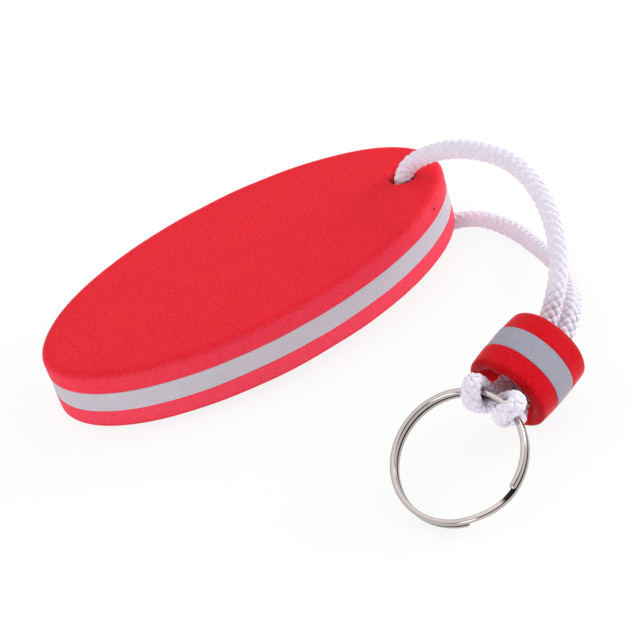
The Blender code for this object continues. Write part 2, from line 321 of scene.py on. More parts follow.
# %% [markdown]
# Each yarn also moves in and out as it passes under and over the others. The two hands
# of helix meet ten times in each turn, so a wave five times a turn, with one hand upside
# down, gives over one and under one on both.
# %% How far each yarn is from the route
waves = add(plait, MATH, {0: turns, 1: yarns_a_hand}, operation="MULTIPLY")
wave_angle = add(plait, MATH, {0: waves, 1: FULL_TURN}, operation="MULTIPLY")
ripple = add(plait, MATH, {0: wave_angle}, operation="COSINE")
in_or_out = add(plait, MATH, {0: ripple, 1: hand}, operation="MULTIPLY")
swing = add(plait, MATH, {0: in_or_out, 1: given["Wave"]}, operation="MULTIPLY")
reach = add(plait, MATH, {0: swing, 1: given["Yarn circle"]}, operation="ADD")
squeeze = add(plait, "GeometryNodeInputRadius")
distance = add(plait, MATH, {0: reach, 1: squeeze}, operation="MULTIPLY")
outwards = add(
    plait,
    "ShaderNodeVectorRotate",
    {
        "Vector": add(plait, "GeometryNodeInputNormal"),
        "Axis": add(plait, "GeometryNodeInputTangent"),
        "Angle": angle,
    },
)
print("nodes so far:", len(plait.nodes))


# %% [markdown]
# The copies are moved out to their helices. The direction outwards is kept from before
# the move, because it then lays each yarn flat on the cord.
# %% Move the yarns out
kept = add(plait, "GeometryNodeCaptureAttribute", {"Geometry": copies}, domain="POINT")
kept.capture_items.new("VECTOR", "Outwards")
plait.links.new(outwards.outputs["Vector"], kept.inputs["Outwards"])
shift = add(plait, VECTOR_MATH, {"Vector": outwards, "Scale": distance}, operation="SCALE")
helices = add(plait, "GeometryNodeSetPosition", {"Geometry": kept, "Offset": shift})
laid_flat = add(
    plait,
    "GeometryNodeSetCurveNormal",
    {"Curve": helices, "Normal": kept.outputs["Outwards"]},
    mode="FREE",
)
yarn_lines = add(
    plait,
    "GeometryNodeStoreNamedAttribute",
    {"Geometry": laid_flat, "Name": "along", "Value": length},
    data_type="FLOAT",
    domain="POINT",
)
print("nodes so far:", len(plait.nodes))


# %% [markdown]
# A yarn is wider than it is thick, and it is twisted from two plies. Its section is an
# oval with a shallow notch in the middle, where the plies meet.
# %% The section of a yarn
PLY_WIDTH = 0.35 * MM
NOTCHED_SHARE = 0.9

circle = add(plait, "GeometryNodeCurvePrimitiveCircle", {"Resolution": 10, "Radius": 0.5})
size = add(plait, "ShaderNodeCombineXYZ", {"X": given["Yarn height"], "Y": given["Yarn width"]})
oval = add(plait, "GeometryNodeTransform", {"Geometry": circle, "Scale": size})
position = add(plait, "GeometryNodeInputPosition")
spot = add(plait, "ShaderNodeSeparateXYZ", {"Vector": position}).outputs
off_centre = add(plait, MATH, {0: spot["Y"]}, operation="ABSOLUTE")
ply = add(
    plait,
    MAP_RANGE,
    {"Value": off_centre, "From Max": PLY_WIDTH, "To Min": NOTCHED_SHARE, "To Max": 1.0},
)
notched_height = add(plait, MATH, {0: spot["X"], 1: ply}, operation="MULTIPLY")
notched = add(plait, "ShaderNodeCombineXYZ", {"X": notched_height, "Y": spot["Y"]})
two_plies = add(plait, "GeometryNodeSetPosition", {"Geometry": oval, "Position": notched})
yarn_section = add(
    plait,
    "GeometryNodeStoreNamedAttribute",
    {"Geometry": two_plies, "Name": "across", "Value": spot["Y"]},
    data_type="FLOAT",
    domain="POINT",
)
print("nodes so far:", len(plait.nodes))


# %% [markdown]
# The section is drawn along each yarn, and a plain round core fills the middle, as it does
# in the real cord, so that no light shows between the yarns.
# %% Draw the yarns and the core
yarns = add(
    plait,
    "GeometryNodeCurveToMesh",
    {"Curve": yarn_lines, "Profile Curve": yarn_section, "Fill Caps": True},
)
core_section = add(
    plait, "GeometryNodeCurvePrimitiveCircle", {"Resolution": 14, "Radius": given["Core"]}
)
core = add(
    plait,
    "GeometryNodeCurveToMesh",
    {"Curve": route, "Profile Curve": core_section, "Fill Caps": True},
)
joined = add(plait, "GeometryNodeJoinGeometry")
plait.links.new(yarns.outputs["Mesh"], joined.inputs[0])
plait.links.new(core.outputs["Mesh"], joined.inputs[0])
real = add(plait, "GeometryNodeRealizeInstances", {"Geometry": joined})
dressed = add(
    plait, "GeometryNodeSetMaterial", {"Geometry": real, "Material": given["Braid"]}
)
add(plait, "NodeGroupOutput", {"Cord": dressed})
print("the plait's tree has", len(plait.nodes), "nodes")


# %% [markdown]
# The tree is put on the route as a modifier, with its sizes in metres. The result is then
# copied into a plain mesh, because a finished part should not depend on a live tree.
# %% Plait the cord
cord_sizes = {
    "Yarns": 10,
    "Turn": 9.6 * MM,
    "Yarn circle": 1.44 * MM,
    "Wave": 0.25 * MM,
    "Yarn width": 1.55 * MM,
    "Yarn height": 0.9 * MM,
    "Core": 1.5 * MM,
    "Step": 0.33 * MM,
    "Braid": white_braid,
}
route_object = bpy.data.objects.new("cord_route", route_curve)
bpy.context.scene.collection.objects.link(route_object)
modifier = route_object.modifiers.new("plait", "NODES")
modifier.node_group = plait
for name, value in cord_sizes.items():
    modifier[socket_names[name]] = value
ready = route_object.evaluated_get(bpy.context.evaluated_depsgraph_get())
cord_mesh = bpy.data.meshes.new_from_object(ready)
bpy.data.objects.remove(route_object)
print("the plaited cord has", len(cord_mesh.vertices), "vertices")


# %% [markdown]
# A cord that is drawn tight on a thin wire flattens: its inner side is pressed on the wire
# and its outer side comes closer to it. A round tube can't bend round a wire of a quarter
# of its thickness without folding into itself. So the hitch is laid loosely at first, and
# each of its points is then drawn in towards the middle of the wire.
# %% Draw the hitch tight
# how far a point is from the middle of the wire, loose and then tight
TIGHTENING = [
    (0.1 * MM, 0.5 * MM),
    (0.4 * MM, 0.66 * MM),
    (4.8 * MM, 3.9 * MM),
    (9 * MM, 9 * MM),
]


def tightened(point):
    """A point of the hitch, drawn in towards the wire, which flattens the cord on it."""
    local = ring_place.inverted() @ point
    out = local.xy.length - wire_circle
    loose = math.hypot(out, local.z)
    for (loose_a, tight_a), (loose_b, tight_b) in zip(TIGHTENING, TIGHTENING[1:]):
        if loose_a <= loose < loose_b:
            tight = tight_a + (tight_b - tight_a) * (loose - loose_a) / (loose_b - loose_a)
            out *= tight / loose
            local.z *= tight / loose
            local.xy = local.xy.normalized() * (wire_circle + out)
            return ring_place @ local
    return point


for vertex in cord_mesh.vertices:
    vertex.co = tightened(vertex.co)
cord_mesh.shade_smooth()
cord_path = [tightened(point) for point in cord_path]


# %% [markdown]
# The finished cord takes the place of the solid cord.
# %% Put the cord in its place
def settle(piece, node):
    """Put a finished piece where a solid stands, on the root body, and hide the solid."""
    if not piece.users_collection:
        bpy.context.scene.collection.objects.link(piece)
    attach(piece, "root")
    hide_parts(node)
    triangles = sum(len(face.vertices) - 2 for face in piece.data.polygons)
    print(piece.name, "stands for", node, "with", triangles, "triangles")


cord = bpy.data.objects.new("braided_cord", cord_mesh)
settle(cord, "cord")


# %% [markdown]
# ## The foam
#
# Float and bead are cut from one sheet, glued from a red, a grey and a red layer of
# closed-cell foam. A moulded skin covers the sheet's two faces, and it is smooth and deep
# red. The sides are cut, so they show open cells, scatter more light and look paler.
#
# One function makes the material of a layer. It measures how high a point lies in the
# stack, along the direction in which the sheets are stacked, and fades from skin to cut
# foam over the rounded edge.
# %% The colour of foam: skin or cut
SHEET = 5 * MM
SHEETS = 3
STACK = SHEET * SHEETS
CUT_BELOW, SKIN_ABOVE = 1.7 * MM, 0.1 * MM


def skin_share(tree, place, up, foot):
    """How much skin a point has: 1 on a face of the stack, 0 on a cut side."""
    lifted = add(tree, VECTOR_MATH, {0: place, 1: tuple(foot)}, operation="SUBTRACT")
    level = add(tree, VECTOR_MATH, {0: lifted, 1: tuple(up)}, operation="DOT_PRODUCT")
    above = add(tree, MATH, {0: level.outputs["Value"], 1: STACK / 2}, operation="SUBTRACT")
    from_middle = add(tree, MATH, {0: above}, operation="ABSOLUTE")
    ends = {"From Min": STACK / 2 - CUT_BELOW, "From Max": STACK / 2 - SKIN_ABOVE}
    return add(
        tree, MAP_RANGE, {"Value": from_middle, **ends}, interpolation_type="SMOOTHSTEP"
    )


# %% [markdown]
# Foam is never one flat colour. Its cells are lighter and darker specks, the sheet has
# faint clouds, and here and there a burst cell leaves a pit. Each is a pattern of its own
# size, and together they make one number that lightens or darkens the colour. A pit is
# dented by the bump and darkened as painted shade. Real cells are about 0.1 mm wide, too
# fine to show, so these are drawn 0.27 mm wide.
# %% The grain of foam
CELL_SIZE, CELL_CONTRAST = 0.27, 0.42
CLOUD_SIZE, CLOUD_CONTRAST = 9, 0.08
PIT_SPACING, PIT_CONTRAST = 1.6, 0.14
# how dark a mark's middle is painted, as painted shade in a pit
MARK_FLOOR, MARK_RIM, MARK_SHADE = 0.25 * MM, 0.5 * MM, 0.12


def foam_grain(tree, place, marks):
    """Cells, small pits and how light the foam is. Marks are larger pits. Pits get painted
    shade.
    """
    cells = add(tree, NOISE, {"Vector": place, "Scale": per_metre(CELL_SIZE), "Detail": 2})
    cloud = add(tree, NOISE, {"Vector": place, "Scale": per_metre(CLOUD_SIZE), "Detail": 2})
    spots = add(
        tree,
        "ShaderNodeTexVoronoi",
        {"Vector": place, "Scale": per_metre(PIT_SPACING), "Randomness": 1},
    )
    pits = add(tree, MAP_RANGE, {"Value": spots, "From Min": 0.06, "From Max": 0.16})
    grain = 1.0
    for pattern, contrast, lowest in (
        (cells, CELL_CONTRAST, 1 - CELL_CONTRAST / 2),
        (cloud, CLOUD_CONTRAST, 1 - CLOUD_CONTRAST / 2),
        (pits, PIT_CONTRAST, 1 - PIT_CONTRAST),
    ):
        light = add(tree, MATH, {0: pattern, 1: contrast, 2: lowest}, operation="MULTIPLY_ADD")
        grain = add(tree, MATH, {0: grain, 1: light}, operation="MULTIPLY")
    # each mark is a pit with no depth, painted dark as painted shade
    edge = {"From Min": MARK_FLOOR, "From Max": MARK_RIM, "To Min": MARK_SHADE, "To Max": 1}
    for mark in marks:
        gap = add(tree, VECTOR_MATH, {0: place, 1: mark}, operation="DISTANCE")
        of_mark = add(tree, MAP_RANGE, {"Value": gap.outputs["Value"], **edge})
        grain = add(tree, MATH, {0: grain, 1: of_mark}, operation="MULTIPLY")
    return cells, pits, grain


# %% [markdown]
# The colour and the grain meet in the surface. Foam is rough and has almost no gloss. Its
# open cells catch the light at the edges of the form, which is what sheen gives, and they
# make the cut sides rougher to the eye than the skin.
# %% The foam's material
PALE_CELLS = (0, 0.06, 0.06)
SKIN_SMOOTHS = 0.6


def foam(name, skin, cut, up, foot, sheen, marks=()):
    """Foam whose skin lies across the direction up. Marks are the places of small pits."""
    material, tree, surface, place = new_material(name)
    skinned = skin_share(tree, place, up, foot)
    cells, pits, grain = foam_grain(tree, place, marks)
    both = add(tree, "ShaderNodeMix", {"Factor": skinned}, data_type="RGBA")
    both.inputs[COLOUR_A].default_value = from_hex(cut)
    both.inputs[COLOUR_B].default_value = from_hex(skin)
    colour = both.outputs[COLOUR_OUT]
    tinted = add(tree, VECTOR_MATH, {0: colour, "Scale": grain}, operation="SCALE")
    paleness = add(tree, MATH, {0: cells, 1: 0.5}, operation="SUBTRACT")
    speckle = add(tree, VECTOR_MATH, {0: PALE_CELLS, "Scale": paleness}, operation="SCALE")
    speckled = add(tree, VECTOR_MATH, {0: tinted, 1: speckle}, operation="ADD")
    tree.links.new(speckled.outputs["Vector"], surface.inputs["Base Color"])
    openness = add(tree, MATH, {0: skinned, 1: -SKIN_SMOOTHS, 2: 1.0}, operation="MULTIPLY_ADD")
    hollows = add(tree, MATH, {0: cells, 1: pits}, operation="ADD")
    relief = add(tree, MATH, {0: hollows, 1: openness}, operation="MULTIPLY")
    bump = add(
        tree, "ShaderNodeBump", {"Height": relief, "Strength": 0.5, "Distance": 0.08 * MM}
    )
    tree.links.new(bump.outputs["Normal"], surface.inputs["Normal"])
    surface.inputs["Roughness"].default_value = 0.55
    surface.inputs["Specular IOR Level"].default_value = 0.06
    surface.inputs["Sheen Weight"].default_value = sheen
    surface.inputs["Sheen Roughness"].default_value = 0.3
    surface.inputs["Sheen Tint"].default_value = from_hex("#ffc4cf")
    print(name, "has", len(tree.nodes), "nodes")
    return material


# %% [markdown]
# ## The shape of a foam layer
#
# Every layer is a ring of foam, because the cord passes through it. Cutting a hole with a
# Boolean leaves long thin triangles that shade badly. Here each layer is laid up from
# loops instead: up the outer wall, in across the top, down the wall of the hole and back
# out across the bottom, and the last loop joins the first.
# %% Skin a body over loops
def skin_over(name, loops, material, ring=False):
    """A closed body over loops of equal count. A ring joins its last loop to its first."""
    count = len(loops[0])
    vertices = [point for loop in loops for point in loop]
    faces = []
    pairs = list(zip(range(len(loops)), range(1, len(loops))))
    if ring:
        pairs.append((len(loops) - 1, 0))
    for low, high in pairs:
        for i in range(count):
            j = (i + 1) % count
            faces.append((low * count + i, low * count + j, high * count + j, high * count + i))
    if not ring:
        faces.append(tuple(reversed(range(count))))
        faces.append(tuple(range((len(loops) - 1) * count, len(loops) * count)))
    mesh = bpy.data.meshes.new(name)
    mesh.from_pydata(vertices, [], faces)
    mesh.shade_smooth()
    mesh.materials.append(material)
    return bpy.data.objects.new(name, mesh)


def loops_between(outer, inner, shares):
    """Loops on the way from one loop to another, at the given shares of the way."""
    return [[a.lerp(b, share) for a, b in zip(outer, inner)] for share in shares]


def even_shares(steps):
    """The shares of a way that divide it into equal steps, without its two ends."""
    return [step / steps for step in range(1, steps)]


# %% [markdown]
# The outer edges of the stack are rounded where the blade drags the skin in. The edges at
# a glued joint keep only a hint of a corner, which shows as a fine line.
# %% The outer wall of a layer
SEAM = 0.01 * MM
GLUED_ROUND = 0.12 * MM
ROUND_STEPS = 8
WALL_STEPS = 8


def edge_round(radius, steps):
    """(distance from the wall, distance from the face) round an edge, from the wall."""
    angles = [math.pi / 2 * i / steps for i in range(steps + 1)]
    return [(radius * (1 - math.cos(a)), radius * (1 - math.sin(a))) for a in angles]


def wall_stations(sheet, under_round, top_round):
    """(inset, height) up the outer wall of one layer."""
    low = sheet * SHEET + SEAM
    high = (sheet + 1) * SHEET - SEAM
    low_round = under_round if sheet == 0 else GLUED_ROUND
    high_round = top_round if sheet == SHEETS - 1 else GLUED_ROUND
    low_edge = [(inset, low + rise) for inset, rise in edge_round(low_round, ROUND_STEPS)]
    high_edge = [(inset, high - drop) for inset, drop in edge_round(high_round, ROUND_STEPS)]
    first, last = low + low_round, high - high_round
    wall = [(0, first + (last - first) * i / WALL_STEPS) for i in range(1, WALL_STEPS)]
    return low_edge[::-1] + wall + high_edge


# %% [markdown]
# ## The float
#
# The float is an oval of about 96 by 47 millimetres. It lies with its tip propped on the
# cord that comes out under it, so it tilts by three degrees. Lift and distance give the
# tilt, because the float rests on the edge of its tail at the other end.
# %% Where the float lies
FLOAT_LENGTH = 96 * MM
FLOAT_WIDTH = 47 * MM
HOLE = Vector((38 * MM, -1.9 * MM, 0))
HOLE_MOUTH = Vector((38.3 * MM, 30.1 * MM))
FLOAT_LIFT = 4.7 * MM
TAIL_TO_HOLE = 84.6 * MM
FLOAT_TILT = math.asin(FLOAT_LIFT / TAIL_TO_HOLE)
float_turn = Matrix.Rotation(-FLOAT_TILT, 4, "Y")
lifted_hole = Vector((*HOLE_MOUTH, FLOAT_LIFT))
float_place = Matrix.Translation(lifted_hole - float_turn @ HOLE) @ float_turn
foot = [round(c / MM, 2) for c in float_place.translation]
print("the float's underside is centred at", foot, "mm")


# %% [markdown]
# Its walls were cut with a hand-guided blade and are a little wavy, and the three layers
# do not end quite flush. The noise that makes the waves is shifted for each sheet.
# %% The float's outline
OVAL_STEPS = 640
WAVE_SIZE, WAVE_DEPTH = 11, 0.14 * MM
RIPPLE_SIZE, RIPPLE_DEPTH = 2.2, 0.03 * MM
SHEET_SHIFT = 7


def oval_point(i, inset, z, sheet):
    """A point of the outline of a sheet, moved in from it by the inset."""
    turn = FULL_TURN * i / OVAL_STEPS
    half = Vector((FLOAT_LENGTH / 2, FLOAT_WIDTH / 2))
    normal = Vector((half.y * math.cos(turn), half.x * math.sin(turn), 0)).normalized()
    edge = Vector((half.x * math.cos(turn), half.y * math.sin(turn), z))
    wave = noise.noise(edge * per_metre(WAVE_SIZE) + Vector((0, 0, SHEET_SHIFT * sheet)))
    ripple = noise.noise(edge * per_metre(RIPPLE_SIZE))
    return edge + (WAVE_DEPTH * wave + RIPPLE_DEPTH * ripple - inset) * normal


# %% [markdown]
# The cord pulls on the hole. It presses the foam back by a little all the way up, and it
# draws the mouth in the top sheet towards the tip, where it leaves. The mouth is rounded
# most on that side, because the cord bends over it.
# %% The wall of the hole
HOLE_RADIUS = 2.6 * MM
CORD_PUSH = 0.4 * MM
MOUTH_SHIFT = Vector((1.2 * MM, 0.8 * MM))
SHIFT_STARTS = 0.6
TAIL_SIDE = 0.25
MOUTH_ROUND = 1.9 * MM
INNER_ROUND = 0.1 * MM


def hole_point(toward, widening, z):
    """A point of the hole's wall, on the side of the point it looks toward."""
    drawn = max(z / STACK - SHIFT_STARTS, 0) / (1 - SHIFT_STARTS)
    shift = drawn * MOUTH_SHIFT
    middle = Vector((HOLE.x - CORD_PUSH + shift.x, HOLE.y + shift.y, z))
    way = (Vector((toward.x, toward.y, z)) - middle).normalized()
    tip_side = 0.5 + 0.5 * way.x
    radius = HOLE_RADIUS + widening * (TAIL_SIDE + (1 - TAIL_SIDE) * tip_side)
    return middle + radius * way


# %% [markdown]
# A layer's faces are filled with loops between its outline and its hole. They crowd
# together near both ends of the way, where the rounded edges need the finer mesh.
# %% One layer of the float
FACE_STEPS = 14
FLOAT_UNDER_ROUND = 1.4 * MM
FLOAT_TOP_ROUND = 2.1 * MM
face_shares = [share * share * (3 - 2 * share) for share in even_shares(FACE_STEPS)]


def float_layer(name, sheet, material):
    """The ring of foam that one sheet gives to the float."""
    walls = wall_stations(sheet, FLOAT_UNDER_ROUND, FLOAT_TOP_ROUND)
    loops = [[oval_point(i, inset, z, sheet) for i in range(OVAL_STEPS)] for inset, z in walls]
    low, high = walls[0][1], walls[-1][1]
    mouth = MOUTH_ROUND if sheet == SHEETS - 1 else INNER_ROUND
    foot = MOUTH_ROUND if sheet == 0 else INNER_ROUND
    stations = [(wider, high - depth) for depth, wider in edge_round(mouth, ROUND_STEPS)]
    stations += [(wider, low + depth) for wider, depth in edge_round(foot, ROUND_STEPS)]
    hole = [[hole_point(point, wider, z) for point in loops[-1]] for wider, z in stations]
    top = loops_between(loops[-1], hole[0], face_shares)
    bottom = loops_between(hole[-1], loops[0], face_shares)
    body = [[float_place @ point for point in loop] for loop in loops + top + hole + bottom]
    return skin_over(name, body, material, ring=True)


# %% [markdown]
# The lower red layer faces the pale table and takes more of its light, so its cut side is
# given a paler red. The two marks are pits in the wall near the tip, where larger bubbles
# burst. They have no depth, and their darkness is painted shade.
# %% Make the float
FLOAT_SHEEN = 0.12
FLOAT_MARKS = [(0.03895, 0.01854, 0.01718), (0.0321, 0.01463, 0.01393)]
float_up = (float_turn @ Vector((0, 0, 1))).normalized()
float_foot = float_place.translation
float_red = foam(
    "float_red_foam", "#e02533", "#ea3a4e", float_up, float_foot, FLOAT_SHEEN, FLOAT_MARKS
)
float_under_red = foam(
    "float_under_red_foam", "#e02533", "#f2465c", float_up, float_foot, FLOAT_SHEEN
)
float_grey = foam(
    "float_grey_foam", "#c3bfc8", "#c3bfc8", float_up, float_foot, FLOAT_SHEEN
)
float_layers = [
    ("float_under_foam", "float_bottom_layer", float_under_red, "red_foam"),
    ("float_core_foam", "float_middle_layer", float_grey, "grey_foam"),
    ("float_upper_foam", "float_top_layer", float_red, "red_foam"),
]
for sheet, (name, node, material, slot) in enumerate(float_layers):
    layer = float_layer(name, sheet, material)
    settle(layer, node)


# %% [markdown]
# ## The bead
#
# The bead is a plug punched from the same glued sheet and slid over both strands of the
# cord, next to the ring. It points along the strands, and its ring end just touches the
# table with its rim.
# %% Where the bead lies
BEAD_RADIUS = 9.25 * MM
BEAD_RING_END = Vector((0.02300, -0.03424, 0.00943))
BEAD_HEADING = math.radians(19.4)
BEAD_RISE = math.radians(9.6)
BEAD_ROLL = math.radians(39.5)
bead_along = Vector(
    (
        math.cos(BEAD_RISE) * math.cos(BEAD_HEADING),
        math.cos(BEAD_RISE) * math.sin(BEAD_HEADING),
        math.sin(BEAD_RISE),
    )
)
bead_level = Vector((math.sin(BEAD_HEADING), -math.cos(BEAD_HEADING), 0))
bead_across = Matrix.Rotation(BEAD_ROLL, 3, bead_along) @ bead_level
bead_turn = Matrix((bead_across, bead_along.cross(bead_across), bead_along)).transposed()
bead_place = Matrix.Translation(BEAD_RING_END) @ bead_turn.to_4x4()
print("the bead points along", [round(c, 3) for c in bead_along])


# %% [markdown]
# The punch squeezes the soft plug, which springs back into a slight barrel with small
# dents. The tight cord pulls the foam of the ring end in, into a dish with a few radial
# folds. Dents and folds are read from a noise along a circle, and a larger circle gives
# more of them. The bore is as wide as the two strands side by side.
# %% The walls of the bead
BEAD_BELLY = 0.35 * MM
DENT_SIZE, DENT_DEPTH, DENT_CIRCLE = 9, 0.16 * MM, 1.6
FOLDS, FOLD_DEPTH, FOLD_CIRCLE = 9, 0.35 * MM, 2.6
STRAND_SPACING = 4.8 * MM


def bead_wall_point(turn, inset, z, sheet):
    """A point of the barrel's wall, moved in from it by the inset."""
    way = Vector((math.cos(turn), math.sin(turn), 0))
    belly = BEAD_BELLY * ((z - STACK / 2) / (STACK / 2)) ** 2
    dent = noise.noise(way * DENT_CIRCLE + Vector((0, 0, z * per_metre(DENT_SIZE) + sheet)))
    return way * (BEAD_RADIUS - belly - inset + DENT_DEPTH * dent) + Vector((0, 0, z))


def fold(turn, share):
    """Small radial folds in the dish, strongest halfway up its side."""
    way = Vector((math.cos(turn), math.sin(turn), 0))
    ridges = noise.noise(way * FOLD_CIRCLE) + 0.5 * math.sin(FOLDS * turn)
    return FOLD_DEPTH * ridges * math.sin(math.pi * share)


def bore_point(turn, radius, z):
    """A point of the bore, whose section is a circle round each strand, joined."""
    way = Vector((math.cos(turn), math.sin(turn), 0))
    half = STRAND_SPACING / 2
    flat = radius / max(abs(way.y), 1e-6)
    if abs(way.x) * flat > half:
        flat = half * abs(way.x) + math.sqrt(radius**2 - (half * way.y) ** 2)
    return flat * way + Vector((0, 0, z))


# %% [markdown]
# The dish falls from the rim to the bore along a half wave, so it is level at both ends and
# its rim stays soft. The other faces are flat.
# %% One layer of the bead
BEAD_STEPS = 220
BEAD_UNDER_ROUND = 1.0 * MM
BEAD_TOP_ROUND = 1.2 * MM
BORE_RADIUS = CORD_DIAMETER / 2 + 0.02 * MM
BORE_MOUTH_ROUND, BORE_MOUTH_STEPS = 0.8 * MM, 6
BORE_FOOT_ROUND, BORE_FOOT_STEPS = 0.3 * MM, 4
BEAD_TOP_STEPS, BEAD_BOTTOM_STEPS = 6, 5
DISH_DEPTH = 3.3 * MM
DISH_STEPS = 12
DISH_POWER = 1.2
bead_turns = [FULL_TURN * i / BEAD_STEPS for i in range(BEAD_STEPS)]


def dish(bore_end, rim):
    """The loops of the dish, from the end of the bore to the foot of the wall."""
    shares = even_shares(DISH_STEPS)
    loops = loops_between(bore_end, rim, shares)
    for share, loop in zip(shares, loops):
        depth = DISH_DEPTH * (0.5 + 0.5 * math.cos(math.pi * share)) ** DISH_POWER
        for turn, spot in zip(bead_turns, loop):
            spot.z = depth + fold(turn, share)
    return loops


def bead_layer(name, sheet, material):
    """The ring of foam that one sheet gives to the bead."""
    walls = wall_stations(sheet, BEAD_UNDER_ROUND, BEAD_TOP_ROUND)
    loops = [
        [bead_wall_point(turn, inset, z, sheet) for turn in bead_turns] for inset, z in walls
    ]
    high = walls[-1][1]
    low = DISH_DEPTH if sheet == 0 else walls[0][1]
    mouth = BORE_MOUTH_ROUND if sheet == SHEETS - 1 else INNER_ROUND
    mouth_edge = edge_round(mouth, BORE_MOUTH_STEPS)
    foot_edge = edge_round(BORE_FOOT_ROUND, BORE_FOOT_STEPS)
    stations = [(wider, high - depth) for depth, wider in mouth_edge]
    stations += [(wider, low + depth) for wider, depth in foot_edge]
    bore = [[bore_point(turn, BORE_RADIUS + w, z) for turn in bead_turns] for w, z in stations]
    top = loops_between(loops[-1], bore[0], even_shares(BEAD_TOP_STEPS))
    if sheet == 0:
        bottom = dish(bore[-1], loops[0])
    else:
        bottom = loops_between(bore[-1], loops[0], even_shares(BEAD_BOTTOM_STEPS))
    body = [[bead_place @ point for point in loop] for loop in loops + top + bore + bottom]
    return skin_over(name, body, material, ring=True)


# %% [markdown]
# The bead's foam is the float's, but its sides curve through all the light of the room, so
# its colours are written a little deeper and its sheen stronger.
# %% Make the bead
BEAD_SHEEN = 0.35
bead_red = foam(
    "bead_red_foam", "#b00411", "#cd0c1e", bead_along, BEAD_RING_END, BEAD_SHEEN
)
bead_grey = foam(
    "bead_grey_foam", "#9d9caa", "#9d9caa", bead_along, BEAD_RING_END, BEAD_SHEEN
)
bead_layers = [
    ("bead_ring_end_foam", "bead_lower_layer", bead_red, "red_foam"),
    ("bead_core_foam", "bead_middle_layer", bead_grey, "grey_foam"),
    ("bead_cord_end_foam", "bead_upper_layer", bead_red, "red_foam"),
]
for sheet, (name, node, material, slot) in enumerate(bead_layers):
    layer = bead_layer(name, sheet, material)
    settle(layer, node)


# %% [markdown]
# ## The split ring
#
# A split ring is one length of flat spring wire wound twice, with a short crossover where
# it steps from one turn to the other. Keys are threaded on by prising the ends apart.
# Bright nickel plate is almost a mirror, with a faint haze from handling, so it needs the
# room around it more than a colour. Between the two turns lies a fine groove, where little
# light reaches, and the wire's colour is painted near black there as painted shade. The
# wire carries an attribute that says where.
# %% The ring's material
HAZE_SIZE = 1.5
SCUFF_SIZE = 0.6

nickel_plate, tree, surface, place = new_material("nickel_plate")
haze = add(tree, NOISE, {"Vector": place, "Scale": per_metre(HAZE_SIZE), "Detail": 4})
rough = add(
    tree,
    MAP_RANGE,
    {"Value": haze, "From Min": 0.3, "From Max": 0.7, "To Min": 0.06, "To Max": 0.14},
)
tree.links.new(rough.outputs["Result"], surface.inputs["Roughness"])
scuff = add(tree, NOISE, {"Vector": place, "Scale": per_metre(SCUFF_SIZE), "Detail": 2})
bump = add(tree, "ShaderNodeBump", {"Height": scuff, "Strength": 0.12, "Distance": 0.03 * MM})
tree.links.new(bump.outputs["Normal"], surface.inputs["Normal"])
groove = add(tree, "ShaderNodeAttribute", attribute_name="groove").outputs["Fac"]
# painted shade: the colour turns near black towards the gap between the two turns
groove_painted_shade = add(tree, "ShaderNodeMix", {"Factor": groove}, data_type="RGBA")
groove_painted_shade.inputs[COLOUR_A].default_value = from_hex("#bbb2af")
groove_painted_shade.inputs[COLOUR_B].default_value = from_hex("#2a201d")
tree.links.new(groove_painted_shade.outputs[COLOUR_OUT], surface.inputs["Base Color"])
surface.inputs["Metallic"].default_value = 1
print(nickel_plate.name, "has", len(tree.nodes), "nodes")


# %% [markdown]
# The wire's section is a small rectangle with rounded corners, because the wire is drawn
# round and rolled flat.
# %% The wire's section
CORNER_STEPS = 5


def wire_section(size):
    """The wire's rounded section as (outwards, upwards), clockwise from its outer side."""
    points = []
    for corner in range(4):
        side = 1 if corner in (0, 3) else -1
        rise = -1 if corner in (0, 1) else 1
        for step in range(CORNER_STEPS + 1):
            turn = -math.pi / 2 * (corner + step / CORNER_STEPS)
            outwards = side * (WIRE_WIDTH / 2 - WIRE_CORNER) + WIRE_CORNER * math.cos(turn)
            upwards = rise * (WIRE_HEIGHT / 2 - WIRE_CORNER) + WIRE_CORNER * math.sin(turn)
            points.append((size * outwards, size * upwards))
    return points


print("the wire's section has", len(wire_section(1)), "points")


# %% [markdown]
# The wire follows a rule: a circle whose height changes only at the crossover, along half
# a wave. Its two ends are ground thinner over their last 0.8 mm, so that a key slides on,
# and the sections are closer together there.
# %% Wind the split ring
WIRE_END = 0.8 * MM
END_SIZE = 0.65
END_STEPS = 6
RING_STEPS = 520
CROSSOVER_START = math.radians(-104)
CROSSOVER_END = math.radians(-150)
GROOVE_STARTS, GROOVE_FULL = 0.6, 0.85

crossover = CROSSOVER_START - CROSSOVER_END
one_turn = FULL_TURN - crossover
travel = 2 * one_turn + crossover
end_angle = WIRE_END / wire_circle
middle_angle = travel - 2 * end_angle
end_stations = [end_angle * i / END_STEPS for i in range(END_STEPS)]
stations = end_stations + [
    end_angle + middle_angle * i / RING_STEPS for i in range(RING_STEPS + 1)
]
stations += [travel - station for station in reversed(end_stations)]
wire_loops = []
grooves = []
for station in stations:
    crossed = min(max((station - one_turn) / crossover, 0), 1)
    level = (WIRE_HEIGHT + TURN_GAP) / 2 * math.cos(math.pi * crossed)
    from_end = min(station, travel - station, end_angle) / end_angle
    size = 1 - (1 - END_SIZE) * (1 - from_end) ** 2
    angle = CROSSOVER_START + station
    out = Vector((math.cos(angle), math.sin(angle), 0))
    loop = [out * (wire_circle + o) + Vector((0, 0, level + u)) for o, u in wire_section(size)]
    wire_loops.append([ring_place @ point for point in loop])
    # painted shade: how dark the wire is painted near the gap between the turns
    other_turn = -level / (WIRE_HEIGHT / 2)
    for _, upwards in wire_section(1):
        near_gap = other_turn * upwards / (WIRE_HEIGHT / 2)
        dark = (near_gap - GROOVE_STARTS) / (GROOVE_FULL - GROOVE_STARTS)
        grooves.append(min(max(dark, 0), 1))
ring = skin_over("nickel_split_ring", wire_loops, nickel_plate)
groove = ring.data.attributes.new("groove", "FLOAT", "POINT")
groove.data.foreach_set("value", grooves)
settle(ring, "split_ring")


